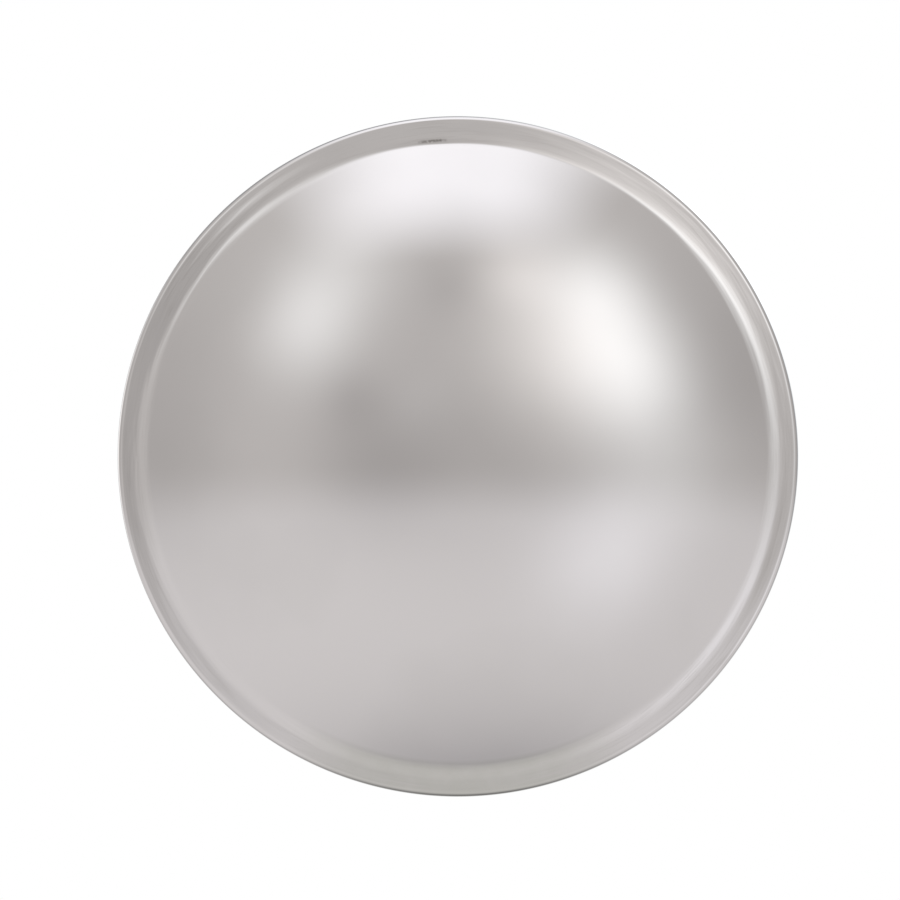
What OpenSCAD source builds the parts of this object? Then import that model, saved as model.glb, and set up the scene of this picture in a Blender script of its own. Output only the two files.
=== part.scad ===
// Traffic convex mirror: a polished domed face on a closed pan, held to a round pole by a
// bracket that pans and tilts. +Z is up along the pole, and the mirror faces -Y. The origin is
// on the pole's axis at the middle of the clamp. All sizes are in millimetres.

/* [Mirror face] */
// Diameter over the rolled edge
mirror_d = 450; // [400:10:600]
// Thickness of the polished sheet
face_t = 1; // [0.8:0.1:1.5]
// Outer bend radius of the rolled edge
hem_r = 4; // [3.8:0.1:4.4]
// Width of the rim's flat part, from the rolled edge to the fillet
rim_w = 7; // [7:0.1:8]
// How far the rim slopes back, in degrees
rim_tilt = 7.5; // [5:0.5:10]
// Radius of the concave fillet that rises from the rim to the crease
fillet_r = 26.5; // [22:0.5:30]
// Slope of the fillet where it meets the crease, in degrees
crease_tilt = 33; // [26:1:34]
// Radius of the slight crease at the foot of the dome
crease_r = 3; // [2:0.5:4]
// Slope of the dome at its edge, in degrees
dome_edge_tilt = 35; // [34.6:0.2:38]
// Width of the return leg behind the rim
hem_leg = 9; // [7:0.5:10]

/* [Back pan] */
// Thickness of the pan's sheet
pan_t = 1; // [0.8:0.1:1.5]
// Depth of the pan behind the rim's inner edge
pan_depth = 21; // [18:1:30]
// Clearance between the pan's edge and the seal's web
pan_edge_gap = 0.3; // [0.2:0.1:0.5]
// How far inside the rim's inner edge the pan's flange turns into its sloping wall
pan_shoulder = 4; // [4:0.5:8]
// Radius of the middle of the swage ring
swage_r = 155; // [120:5:170]
// Height of the swage ring
swage_h = 3; // [2:0.5:4]
// Diameter of the drain holes
drain_d = 6; // [4:1:8]

/* [Edge seal] */
// Thickness of the seal's lips
seal_lip_t = 2.5; // [2.3:0.1:2.6]
// Thickness of the seal's web
seal_web_t = 2; // [1.5:0.1:2.5]
// How far the rear lip shows past the return leg
seal_show = 1.5; // [1:0.5:2]

/* [Head bracket] */
// Side of the square head plate
plate_w = 110; // [100:5:130]
// Thickness of the head plate
plate_t = 4; // [3:0.5:6]
// Distance between the bolts, both ways
bolt_pitch = 80; // [76:2:90]
// Side of the stiffener plate inside the pan
stiffener_w = 150; // [130:5:180]
// Thickness of the stiffener plate
stiffener_t = 2.5; // [2:0.5:4]
// Distance from the pan's back to the tilt axis
tilt_reach = 32; // [30:1:40]
// Thickness of an ear
ear_t = 5; // [4:0.5:6]
// Radius of an ear's round end
ear_r = 18; // [16:1:20]
// Height of an ear at the plate
ear_root = 72; // [60:2:90]

/* [Swivel knuckle] */
// Distance between the pan axis and the tilt axis
axis_gap = 46; // [44:1:60]
// Outer diameter of both eyes
eye_d = 30; // [28:1:32]
// Height of the pan eye
pan_eye_h = 40; // [36:1:40]
// Width of the tilt eye
tilt_eye_w = 36; // [32:1:40]
// Diameter of the neck between the eyes
neck_d = 24; // [18:1:26]
// Bore for the bushes
bush_od = 16; // [15:0.5:18]
// Length of a bush inside its eye
bush_len = 14; // [8:1:16]
// Thickness of a bush's flange
bush_flange_t = 1.9; // [1.5:0.1:2.5]
// Diameter of a bush's flange
bush_flange_d = 25; // [20:1:26]

/* [Pole mount] */
// Bore of the closed clamp, for a 60.3 pole
clamp_d = 60.5; // [60.5:0.1:60.6]
// Height of the clamp
clamp_h = 60; // [50:5:80]
// Thickness of the saddle
saddle_t = 5; // [4:0.5:6]
// Thickness of the strap
strap_t = 4; // [3:0.5:5]
// Gap between the saddle's ears and the strap's
clamp_gap = 6; // [4:1:10]
// Distance of the clamp bolts from the pole's axis
clamp_bolt_x = 47; // [46:1:52]
// Vertical distance between the clamp bolts
clamp_bolt_pitch = 36; // [30:2:40]
// Width of the arm's square tube
arm_w = 40; // [36:2:44]
// Wall of the arm's tube
arm_t = 3; // [2:0.5:3.5]
// Outer corner radius of the arm's tube
arm_corner_r = 6; // [5:0.5:8]
// Thickness of the clevis strip
clevis_t = 5; // [4:0.5:6]
// Width of the clevis strip
clevis_w = 50; // [46:2:50]
// Distance from the pole's axis to the clevis
clevis_y = 80; // [76:1:90]
// Distance from the pole's axis to the pan axis
pan_axis_y = 115; // [112:1:125]
// Diameter of the vent holes that a galvanised tube needs
vent_d = 8; // [6:1:10]

/* [Hidden] */

// Round surfaces
$fn = 96;
dome_fn = 180;

// Fits
play = 0.1;
run_fit = 0.05;
thread_gap = 0.05;
cut = 1;

// Overlaps that join neighbouring stretches of the mirror's section: two angles and a length
dome_seam_angle = 0.02;
fillet_seam_angle = 0.2;
seam = 0.02;

// Standard fasteners: [thread diameter, across flats, head height, nut height]
M8 = [8, 13, 5.3, 8];
M12 = [12, 18, 7.5, 12];
// Plain washers: [outer diameter, hole, thickness]
W8 = [16, 8.4, 1.6];
W12 = [24, 13, 2.5];
// Spring lock washer: [outer diameter, hole, thickness, width of its slot]
L8 = [14.8, 8.4, 2, 1.5];
// Hexagon weld nut: [across flats, height]
WN8 = [14, 6.5];
hole8_d = 9;
hole12_d = 12.5;
bracket_bolt_l = 20;
clamp_bolt_l = 35;
pan_bolt_l = 75;
tilt_bolt_l = 70;

// Places along -Y, worked out from the pole towards the mirror
tilt_axis_y = pan_axis_y + axis_gap;
pan_back_y = tilt_axis_y + tilt_reach;
rim_y = pan_back_y + pan_depth;

// Mirror section: r outwards, h forwards from the rim's inner edge
function normal(slope) = [sin(slope), cos(slope)];
rim_inner_r = mirror_d / 2 - hem_r - rim_w * cos(rim_tilt) + hem_r * sin(rim_tilt);
fillet_centre = [rim_inner_r, 0] + fillet_r * normal(rim_tilt);
crease_centre = fillet_centre - (fillet_r - crease_r) * normal(crease_tilt);
dome_edge = crease_centre - crease_r * normal(dome_edge_tilt);
dome_r = dome_edge[0] / sin(dome_edge_tilt);
dome_centre_h = dome_edge[1] - dome_r * cos(dome_edge_tilt);
hem_gap = 2 * (hem_r - face_t);

// The sloping rim's own frame: x outwards along its front, y out of it, from its inner edge
function on_rim(x, y) = [
    rim_inner_r + x * cos(rim_tilt) + y * sin(rim_tilt),
    y * cos(rim_tilt) - x * sin(rim_tilt)
];

// Seal and pan section, in the rim's frame and then in the mirror's
seal_outer_x = rim_w - pan_edge_gap;
seal_inner_x = rim_w - hem_leg - seal_show;
seal_slot_t = hem_gap - 2 * seal_lip_t;
pan_edge_x = seal_outer_x - seal_web_t - pan_edge_gap;
pan_flange_y = -face_t - seal_lip_t - pan_t;
pan_shoulder_at = on_rim(-pan_shoulder, pan_flange_y);
pan_base_r = pan_shoulder_at[0] - (pan_depth + pan_shoulder_at[1]);
swage_half = 4;
pan_path = [
    [0, -pan_depth],
    [swage_r - swage_half - swage_h, -pan_depth],
    [swage_r - swage_half, -pan_depth - swage_h],
    [swage_r + swage_half, -pan_depth - swage_h],
    [swage_r + swage_half + swage_h, -pan_depth],
    [pan_base_r, -pan_depth],
    pan_shoulder_at,
    on_rim(pan_edge_x, pan_flange_y)
];
drain_step = 9;

// Plate corners and holes
plate_corner_r = 10;
clevis_gap = pan_eye_h + 2 * (bush_flange_t + play);
ear_gap = tilt_eye_w + 2 * (bush_flange_t + play);
clevis_bend_r = 3;
clamp_ear_x = 62;
clamp_corner_r = 8;

// Points of a sheet's far side: the path p moved sideways by t, with mitred corners
function unit(v) = v / norm(v);
function left(v) = [-v[1], v[0]];
function before(p, i) = i > 0 ? unit(p[i] - p[i - 1]) : unit(p[1] - p[0]);
function after(p, i) = i < len(p) - 1 ? unit(p[i + 1] - p[i]) : before(p, i);
function mitre(p, i) = left(before(p, i)) + left(after(p, i));
function far_side(p, t) = [
    for (i = [len(p) - 1:-1:0]) p[i] + t * 2 * mitre(p, i) / (mitre(p, i) * mitre(p, i))
];

// Section of a bent sheet along the path p
module sheet_section(p, t) {
    polygon(concat(p, far_side(p, t)));
}

// Ring sector from angle a0 to a1, at most 180 degrees apart
module arc_band(r_in, r_out, a0, a1) {
    reach = 2 * r_out;
    mid = (a0 + a1) / 2;
    intersection() {
        difference() {
            circle(r = r_out, $fn = dome_fn);
            circle(r = r_in, $fn = dome_fn);
        }
        polygon([
            [0, 0],
            reach * [cos(a0), sin(a0)],
            reach * [cos(mid), sin(mid)],
            reach * [cos(a1), sin(a1)]
        ]);
    }
}

// Rectangle with round corners
module round_rect(w, h, r) {
    square([w - 2 * r, h], center = true);
    square([w, h - 2 * r], center = true);
    for (x = [-1, 1], y = [-1, 1]) {
        translate([x * (w / 2 - r), y * (h / 2 - r)]) circle(r = r);
    }
}

// Frames: local +Z points forwards (-Y) from a distance y in front of the pole's axis
module forwards(y) {
    translate([0, -y, 0]) rotate([90, 0, 0]) children();
}

// Local +Z is the pan axis
module at_pan() {
    translate([0, -pan_axis_y, 0]) children();
}

// Local +Z is the tilt axis, pointing to +X
module at_tilt() {
    translate([0, -tilt_axis_y, 0]) rotate([0, 90, 0]) children();
}

// The four bolts of the head
module at_head_bolts() {
    for (x = [-1, 1], z = [-1, 1]) translate([x, z] * bolt_pitch / 2) children();
}

// The four bolts of the clamp: local +Z points backwards (+Y) from the middle of the gap
module at_clamp_bolts() {
    for (x = [-1, 1], z = [-1, 1]) {
        translate([x * clamp_bolt_x, 0, z * clamp_bolt_pitch / 2]) rotate([-90, 0, 0]) children();
    }
}

module hexagon(flats, h) {
    cylinder(d = flats / cos(30), h = h, $fn = 6);
}

// Head below z = 0, shank of length l above
module hex_bolt(size, l) {
    translate([0, 0, -size[2]]) hexagon(size[1], size[2]);
    cylinder(d = size[0], h = l);
}

module hex_nut(size) {
    difference() {
        hexagon(size[1], size[3]);
        translate([0, 0, -cut]) cylinder(d = size[0] + 2 * thread_gap, h = size[3] + 2 * cut);
    }
}

module washer(size) {
    difference() {
        cylinder(d = size[0], h = size[2]);
        translate([0, 0, -cut]) cylinder(d = size[1], h = size[2] + 2 * cut);
    }
}

// Flange on z = 0 to its thickness, barrel below
module flanged_bush() {
    difference() {
        union() {
            cylinder(d = bush_flange_d, h = bush_flange_t);
            translate([0, 0, -bush_len]) cylinder(d = bush_od, h = bush_len + bush_flange_t);
        }
        translate([0, 0, -bush_len - cut]) {
            cylinder(d = M12[0] + 2 * run_fit, h = bush_len + bush_flange_t + 2 * cut);
        }
    }
}

// ---- head ----

// Places a section drawn in the rim's frame
module in_rim_frame() {
    translate([rim_inner_r, 0]) rotate(-rim_tilt) children();
}

module mirror_face() {
    color("gainsboro") forwards(rim_y) rotate_extrude($fn = dome_fn) {
        translate([0, dome_centre_h]) {
            arc_band(dome_r - face_t, dome_r, 90 - dome_edge_tilt - dome_seam_angle, 90);
        }
        translate(crease_centre) {
            arc_band(crease_r, crease_r + face_t, -90 - dome_edge_tilt, -90 - crease_tilt);
        }
        translate(fillet_centre) {
            foot = -90 - crease_tilt - fillet_seam_angle;
            arc_band(fillet_r, fillet_r + face_t, foot, -90 - rim_tilt);
        }
        in_rim_frame() {
            translate([-seam, -face_t]) square([rim_w + seam, face_t]);
            translate([rim_w, -hem_r]) arc_band(hem_r - face_t, hem_r, -90, 90);
            translate([rim_w - hem_leg, -2 * hem_r]) square([hem_leg, face_t]);
        }
    }
}

module edge_seal() {
    color("dimgray") forwards(rim_y) rotate_extrude($fn = dome_fn) in_rim_frame() difference() {
        translate([seal_inner_x, -face_t - hem_gap]) square([seal_outer_x - seal_inner_x, hem_gap]);
        translate([seal_inner_x - cut, -face_t - seal_lip_t - seal_slot_t]) {
            square([seal_outer_x - seal_web_t - seal_inner_x + cut, seal_slot_t]);
        }
    }
}

module back_pan() {
    wall_mid = (pan_shoulder_at + [pan_base_r, -pan_depth]) / 2;
    color("silver") forwards(rim_y) difference() {
        rotate_extrude($fn = dome_fn) sheet_section(pan_path, pan_t);
        at_head_bolts() translate([0, 0, -pan_depth - cut]) {
            cylinder(d = hole8_d, h = pan_t + 2 * cut);
        }
        for (a = [-1:1]) rotate([0, 0, a * drain_step - 90]) {
            translate([wall_mid[0], 0, wall_mid[1]]) rotate([0, -45, 0]) {
                cylinder(d = drain_d, h = 6 * pan_t, center = true);
            }
        }
    }
}

module stiffener_plate() {
    color("silver") forwards(pan_back_y + pan_t) difference() {
        linear_extrude(stiffener_t) round_rect(stiffener_w, stiffener_w, plate_corner_r);
        at_head_bolts() translate([0, 0, -cut]) cylinder(d = hole8_d, h = stiffener_t + 2 * cut);
    }
}

module weld_nuts() {
    color("silver") forwards(pan_back_y + pan_t + stiffener_t) at_head_bolts() difference() {
        hexagon(WN8[0], WN8[1]);
        translate([0, 0, -cut]) cylinder(d = M8[0] + 2 * thread_gap, h = WN8[1] + 2 * cut);
    }
}

module head_plate() {
    color("lightgray") forwards(pan_back_y - plate_t) difference() {
        linear_extrude(plate_t) round_rect(plate_w, plate_w, plate_corner_r);
        at_head_bolts() translate([0, 0, -cut]) cylinder(d = hole8_d, h = plate_t + 2 * cut);
    }
}

// Outline of an ear: a round end at the tilt axis, with straight flanks tangent to it.
// Local x points forwards to the plate.
module ear_outline() {
    root_x = tilt_reach - plate_t;
    root_y = ear_root / 2;
    reach = norm([root_x, root_y]);
    touch = atan2(root_y, root_x) + acos(ear_r / reach);
    circle(r = ear_r);
    polygon([
        ear_r * [cos(touch), -sin(touch)],
        [root_x, -root_y],
        [root_x, root_y],
        ear_r * [cos(touch), sin(touch)]
    ]);
}

module tilt_ears() {
    color("lightgray") for (side = [0, 1]) mirror([side, 0, 0]) {
        translate([ear_gap / 2, -tilt_axis_y, 0]) rotate([90, 0, 90]) mirror([1, 0, 0]) {
            linear_extrude(ear_t) difference() {
                ear_outline();
                circle(d = hole12_d);
            }
        }
    }
}

module bracket_bolts() {
    color("silver") forwards(pan_back_y - plate_t - W8[2] - L8[2]) at_head_bolts() {
        hex_bolt(M8, bracket_bolt_l);
    }
}

module bracket_washers() {
    color("silver") forwards(pan_back_y - plate_t - W8[2]) at_head_bolts() washer(W8);
}

module lock_washers() {
    color("silver") forwards(pan_back_y - plate_t - W8[2] - L8[2]) at_head_bolts() difference() {
        washer(L8);
        translate([0, -L8[3] / 2, -cut]) cube([L8[0], L8[3], L8[2] + 2 * cut]);
    }
}

module tilt_bolt() {
    seat = ear_gap / 2 + ear_t + W12[2];
    color("silver") at_tilt() translate([0, 0, seat]) rotate([180, 0, 0]) {
        hex_bolt(M12, tilt_bolt_l);
    }
}

module tilt_washers() {
    color("silver") at_tilt() for (side = [0, 1]) mirror([0, 0, side]) {
        translate([0, 0, ear_gap / 2 + ear_t]) washer(W12);
    }
}

module tilt_nut() {
    seat = ear_gap / 2 + ear_t + W12[2];
    color("silver") at_tilt() translate([0, 0, -seat - M12[3]]) hex_nut(M12);
}

// ---- swivel ----

module swivel_knuckle() {
    color("darkgray") difference() {
        union() {
            at_pan() cylinder(d = eye_d, h = pan_eye_h, center = true);
            at_tilt() cylinder(d = eye_d, h = tilt_eye_w, center = true);
            forwards(pan_axis_y) cylinder(d = neck_d, h = axis_gap);
        }
        at_pan() cylinder(d = bush_od, h = pan_eye_h + 2 * cut, center = true);
        at_tilt() cylinder(d = bush_od, h = tilt_eye_w + 2 * cut, center = true);
    }
}

module pan_bushes() {
    color("ivory") at_pan() for (side = [0, 1]) mirror([0, 0, side]) {
        translate([0, 0, pan_eye_h / 2]) flanged_bush();
    }
}

module tilt_bushes() {
    color("ivory") at_tilt() for (side = [0, 1]) mirror([0, 0, side]) {
        translate([0, 0, tilt_eye_w / 2]) flanged_bush();
    }
}

// ---- pole mount ----

// A strip bent into a U that opens forwards, with both lugs rounded about the pan axis
module pan_clevis() {
    half_h = clevis_gap / 2 + clevis_t;
    outer_r = clevis_bend_r + clevis_t;
    length = pan_axis_y - clevis_y;
    color("lightgray") difference() {
        intersection() {
            translate([-clevis_w / 2, -clevis_y, 0]) rotate([90, 0, 90]) mirror([1, 0, 0]) {
                linear_extrude(clevis_w) difference() {
                    union() {
                        translate([outer_r, -half_h]) square([length + clevis_w, 2 * half_h]);
                        translate([0, outer_r - half_h]) square([2 * outer_r, 2 * (half_h - outer_r)]);
                        for (z = [-1, 1]) {
                            translate([outer_r, z * (half_h - outer_r)]) circle(r = outer_r);
                        }
                    }
                    translate([outer_r, -clevis_gap / 2]) square([length + 2 * clevis_w, clevis_gap]);
                    translate([clevis_t, clevis_bend_r - clevis_gap / 2]) {
                        square([2 * clevis_bend_r, clevis_gap - 2 * clevis_bend_r]);
                    }
                    for (z = [-1, 1]) {
                        translate([outer_r, z * (half_h - outer_r)]) circle(r = clevis_bend_r);
                    }
                }
            }
            translate([0, 0, -half_h - cut]) linear_extrude(2 * (half_h + cut)) union() {
                translate([0, -pan_axis_y]) circle(d = clevis_w);
                translate([-clevis_w / 2, -pan_axis_y]) square([clevis_w, length + cut]);
            }
        }
        at_pan() cylinder(d = hole12_d, h = 2 * (half_h + cut), center = true);
    }
}

module bracket_arm() {
    core = arm_w - 2 * arm_t;
    core_r = arm_corner_r - arm_t;
    vent_ys = [clamp_d / 2 + saddle_t + vent_d, clevis_y - vent_d];
    color("lightgray") difference() {
        rotate([90, 0, 0]) linear_extrude(clevis_y) difference() {
            round_rect(arm_w, arm_w, arm_corner_r);
            round_rect(core, core, core_r);
        }
        cylinder(d = clamp_d + 2 * saddle_t, h = 2 * arm_w, center = true);
        for (y = vent_ys) translate([0, -y, -arm_w / 2 - cut]) cylinder(d = vent_d, h = arm_t + 2 * cut);
    }
}

// Half of the clamp on its +Y side: a half ring of wall t with an ear on each side
module clamp_half(t) {
    ear_l = clamp_ear_x - clamp_d / 2;
    difference() {
        union() {
            intersection() {
                cylinder(d = clamp_d + 2 * t, h = clamp_h, center = true);
                translate([-clamp_d, clamp_gap / 2, -clamp_h]) cube([2 * clamp_d, clamp_d, 2 * clamp_h]);
            }
            translate([0, clamp_gap / 2, 0]) rotate([-90, 0, 0]) linear_extrude(t) {
                round_rect(2 * clamp_ear_x, clamp_h, clamp_corner_r);
            }
        }
        cylinder(d = clamp_d, h = clamp_h + 2 * cut, center = true);
        at_clamp_bolts() cylinder(d = hole8_d, h = clamp_d);
    }
}

module pole_saddle() {
    color("lightgray") mirror([0, 1, 0]) clamp_half(saddle_t);
}

module clamp_strap() {
    color("lightgray") clamp_half(strap_t);
}

module clamp_bolts() {
    seat = clamp_gap / 2 + saddle_t + W8[2];
    color("silver") at_clamp_bolts() translate([0, 0, -seat]) hex_bolt(M8, clamp_bolt_l);
}

module clamp_washers() {
    color("silver") at_clamp_bolts() {
        translate([0, 0, clamp_gap / 2 + strap_t]) washer(W8);
        translate([0, 0, -clamp_gap / 2 - saddle_t - W8[2]]) washer(W8);
    }
}

module clamp_nuts() {
    color("silver") at_clamp_bolts() translate([0, 0, clamp_gap / 2 + strap_t + W8[2]]) hex_nut(M8);
}

module pan_bolt() {
    seat = clevis_gap / 2 + clevis_t + W12[2];
    color("silver") at_pan() translate([0, 0, seat]) rotate([180, 0, 0]) hex_bolt(M12, pan_bolt_l);
}

module pan_washers() {
    color("silver") at_pan() for (side = [0, 1]) mirror([0, 0, side]) {
        translate([0, 0, clevis_gap / 2 + clevis_t]) washer(W12);
    }
}

module pan_nut() {
    seat = clevis_gap / 2 + clevis_t + W12[2];
    color("silver") at_pan() translate([0, 0, -seat - M12[3]]) hex_nut(M12);
}

mirror_face();
edge_seal();
back_pan();
stiffener_plate();
weld_nuts();
head_plate();
tilt_ears();
bracket_bolts();
bracket_washers();
lock_washers();
tilt_bolt();
tilt_washers();
tilt_nut();
swivel_knuckle();
pan_bushes();
tilt_bushes();
pan_clevis();
bracket_arm();
pole_saddle();
clamp_strap();
clamp_bolts();
clamp_washers();
clamp_nuts();
pan_bolt();
pan_washers();
pan_nut();
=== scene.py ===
"""Traffic convex mirror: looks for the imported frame. Metres, +Z up, the mirror faces -Y."""

import math
import random

import bmesh
import bpy
from mathutils import Matrix, Vector, noise


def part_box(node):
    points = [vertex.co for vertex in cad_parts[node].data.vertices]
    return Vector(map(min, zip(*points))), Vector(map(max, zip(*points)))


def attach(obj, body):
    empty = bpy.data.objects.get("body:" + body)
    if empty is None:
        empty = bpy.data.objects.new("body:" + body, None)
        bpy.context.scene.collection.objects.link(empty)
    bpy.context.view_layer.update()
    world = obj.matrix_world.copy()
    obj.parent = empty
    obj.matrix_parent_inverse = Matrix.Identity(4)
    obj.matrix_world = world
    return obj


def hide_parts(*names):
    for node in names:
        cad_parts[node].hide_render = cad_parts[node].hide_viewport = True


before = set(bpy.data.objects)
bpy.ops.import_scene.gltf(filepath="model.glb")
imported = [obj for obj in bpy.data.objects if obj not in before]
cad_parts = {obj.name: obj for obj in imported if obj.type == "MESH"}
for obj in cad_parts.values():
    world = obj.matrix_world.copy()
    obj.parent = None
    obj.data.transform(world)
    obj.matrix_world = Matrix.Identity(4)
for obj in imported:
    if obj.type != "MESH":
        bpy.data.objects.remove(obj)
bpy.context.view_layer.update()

MM = 0.001
DOME_SEGMENTS = 512
ROUND_SEGMENTS = 48
FINE_SEGMENTS = 64
THREAD_SEGMENTS = 28
SHARP_ANGLE = math.radians(32)

# The mirror's section, in millimetres and degrees. Its radius comes from the frame.
SHEET = 1.0
HEM_R = 4.0
HEM_LEG = 9.0
RIM_W = 7.0
RIM_TILT = math.radians(7.5)
FILLET_R = 26.5
DOME_TILT = math.radians(34.9)
PAN_T = 1.0
PAN_DEPTH = 21.0
PAN_SHOULDER = 4.0
PAN_EDGE_X = 4.4
PAN_FLANGE_Y = -4.5
SWAGE_R = 155.0
SWAGE_HALF = 4.0
SWAGE_H = 3.0
SEAL_X = (-3.5, 6.7)
SEAL_LIP = 2.5
SEAL_WEB = 2.0
DRAIN_R = 3.0
DRAIN_STEP = math.radians(9)
SPOT_WELD_STEP = 65.5

# Fasteners, in millimetres. A washer is its outer diameter, hole and thickness.
M8 = {"d": 8.0, "flats": 13.0, "head": 5.3, "nut": 8.0, "pitch": 1.25, "washer": (16.0, 8.4, 1.6)}
M12 = {"d": 12.0, "flats": 18.0, "head": 7.5, "nut": 12.0, "pitch": 1.75, "washer": (24.0, 13.0, 2.5)}
HEAD_THREAD = 14.0
CLAMP_THREAD = 22.0
PIVOT_THREAD = 30.0
THREAD_GAP = 0.02
WASHER_FACE = 0.3
HEX_FACE = 0.96  # a chamfered hexagon's flat end, as a share of its flats
SPRING_WASHER = (14.8, 8.4, 2.0)
SPRING_GAP = 1.5
WELD_NUT_FLATS = 14.0
WELD_NUT_BORE_R = 4.05

# The swivel's bushes and casting, in millimetres
BUSH_BORE_R = 6.05
BUSH_SLEEVE_R = 8.0
BUSH_SLEEVE = 14.0
BUSH_FLANGE_R = 12.5
BUSH_FLANGE = 1.9
EYE_R = 14.9
EYE_BORE_R = 8.02
EYE_END = 0.6  # how far the rough casting stays inside an eye's ends
NECK_R = 11.9
NECK_END = 2.0  # how far the neck stays clear of the eyes' axes
PAN_EYE_H = 40.0
TILT_EYE_W = 36.0

# Weld beads, in metres
BEAD_R = 0.0019
BEAD_RIPPLE = 0.0017
ARM_CORNER_R = 0.006


# ---------------------------------------------------------------- places from the frame

def size_of(node):
    lo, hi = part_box(node)
    return hi - lo


def middle_of(node):
    lo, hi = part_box(node)
    return (lo + hi) / 2


MIRROR_LO, MIRROR_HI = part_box("mirror_face")
MIRROR_R = (MIRROR_HI.x - MIRROR_LO.x) / 2 / MM
PAN_AXIS = middle_of("pan_bushes")
TILT_AXIS = middle_of("tilt_bushes")


def unit(angle):
    return Vector((math.cos(angle), math.sin(angle)))


def normal(slope):
    """Which way a surface faces that falls backwards by a slope, going outwards."""
    return Vector((math.sin(slope), math.cos(slope)))


RIM_INNER_R = MIRROR_R - HEM_R - RIM_W * math.cos(RIM_TILT) + HEM_R * math.sin(RIM_TILT)
RIM_INNER = Vector((RIM_INNER_R, 0.0))
FILLET_CENTRE = RIM_INNER + FILLET_R * normal(RIM_TILT)
DOME_EDGE = FILLET_CENTRE - FILLET_R * normal(DOME_TILT)
DOME_R = DOME_EDGE.x / math.sin(DOME_TILT)
DOME_CENTRE = Vector((0.0, DOME_EDGE.y - DOME_R * math.cos(DOME_TILT)))
FACE_Y = MIRROR_LO.y + (DOME_CENTRE.y + DOME_R) * MM


def on_rim(x, y):
    """A point of the sloping rim's own frame: x outwards along its front, y out of it."""
    along = Vector((math.cos(RIM_TILT), -math.sin(RIM_TILT)))
    return RIM_INNER + along * x + normal(RIM_TILT) * y


def aim(origin, direction, roll=0.0):
    """Places a shape drawn in millimetres at origin, in metres, with its +Z along direction."""
    turn = Vector(direction).to_track_quat("Z", "Y").to_matrix().to_4x4()
    return Matrix.Translation(origin) @ turn @ Matrix.Rotation(roll, 4, "Z") @ Matrix.Scale(MM, 4)


FACE_FRAME = aim((0, FACE_Y, 0), (0, -1, 0))


# ---------------------------------------------------------------- mesh tools

class Shape:
    """Points and faces gathered before they become one mesh."""

    def __init__(self):
        self.points, self.faces, self.slots = [], [], []

    def add(self, points, faces, place=Matrix(), slot=0):
        start = len(self.points)
        self.points += [tuple(place @ Vector(p)) for p in points]
        self.faces += [tuple(start + i for i in f) for f in faces]
        self.slots += [slot] * len(faces)
        return self

    def make(self, name, materials):
        mesh = bpy.data.meshes.new(name)
        mesh.from_pydata(self.points, [], self.faces)
        for m in materials:
            mesh.materials.append(m)
        mesh.polygons.foreach_set("material_index", self.slots)
        turn_out(mesh)
        obj = bpy.data.objects.new(name, mesh)
        bpy.context.scene.collection.objects.link(obj)
        return obj


def turn_out(mesh):
    """Makes every face's normal point out of its closed shell."""
    bm = bmesh.new()
    bm.from_mesh(mesh)
    bmesh.ops.recalc_face_normals(bm, faces=bm.faces)
    bm.to_mesh(mesh)
    bm.free()


def skin(rings, loop=False):
    """Faces between rings of points. A ring of one point is a pole. loop joins last to first."""
    points, starts = [], []
    for ring in rings:
        starts.append(len(points))
        points += ring
    pairs = list(zip(range(len(rings)), range(1, len(rings))))
    if loop:
        pairs.append((len(rings) - 1, 0))
    faces = []
    for a, b in pairs:
        na, nb = len(rings[a]), len(rings[b])
        n = max(na, nb)
        for i in range(n):
            j = (i + 1) % n
            edge_a = [starts[a] + i % na, starts[a] + j % na]
            edge_b = [starts[b] + j % nb, starts[b] + i % nb]
            faces.append(tuple(dict.fromkeys(edge_a + edge_b)))
    return points, [f for f in faces if len(f) > 2]


def circle(radius, height, segments=ROUND_SEGMENTS):
    """A level ring of points round Z, or a pole if it has no radius."""
    if radius < 1e-6:
        return [(0.0, 0.0, height)]
    turns = (2 * math.pi * i / segments for i in range(segments))
    return [(radius * math.cos(a), radius * math.sin(a), height) for a in turns]


def lathe(section, segments=ROUND_SEGMENTS, loop=True):
    """Turns a section of (r, h) points about Z. Points on the axis become poles."""
    return skin([circle(r, h, segments) for r, h in section], loop)


def arc(centre, radius, start, end, steps):
    """Points on an arc from angle start to end, both ends included."""
    turns = (start + (end - start) * i / steps for i in range(steps + 1))
    return [Vector(centre) + radius * unit(turn) for turn in turns]


def line(a, b, steps):
    return [Vector(a).lerp(Vector(b), i / steps) for i in range(steps + 1)]


def join_paths(*paths):
    """One path from several, without the doubled points where they meet."""
    points = []
    for path in paths:
        for p in path:
            if not points or (Vector(p) - Vector(points[-1])).length > 1e-5:
                points.append(Vector(p))
    return points


def rounded(path, radius, steps=5):
    """The path with each inner corner rounded."""
    points = [Vector(path[0])]
    for before, corner, after in zip(path, path[1:], path[2:]):
        corner = Vector(corner)
        a, b = (Vector(before) - corner), (Vector(after) - corner)
        half = a.angle(b) / 2
        reach = min(radius / math.tan(half), 0.45 * a.length, 0.45 * b.length)
        start, end = corner + a.normalized() * reach, corner + b.normalized() * reach
        for i in range(steps + 1):
            t = i / steps
            points.append(start.lerp(corner, t).lerp(corner.lerp(end, t), t))
    points.append(Vector(path[-1]))
    return points


def thicken(path, thickness):
    """Section of a sheet: the path, and back along its left side at a distance."""
    far = []
    for i, p in enumerate(path):
        ahead = path[min(i + 1, len(path) - 1)] - path[max(i - 1, 0)]
        side = Vector((-ahead.y, ahead.x)).normalized()
        far.append(p + side * thickness)
    return list(path) + far[::-1]


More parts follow.
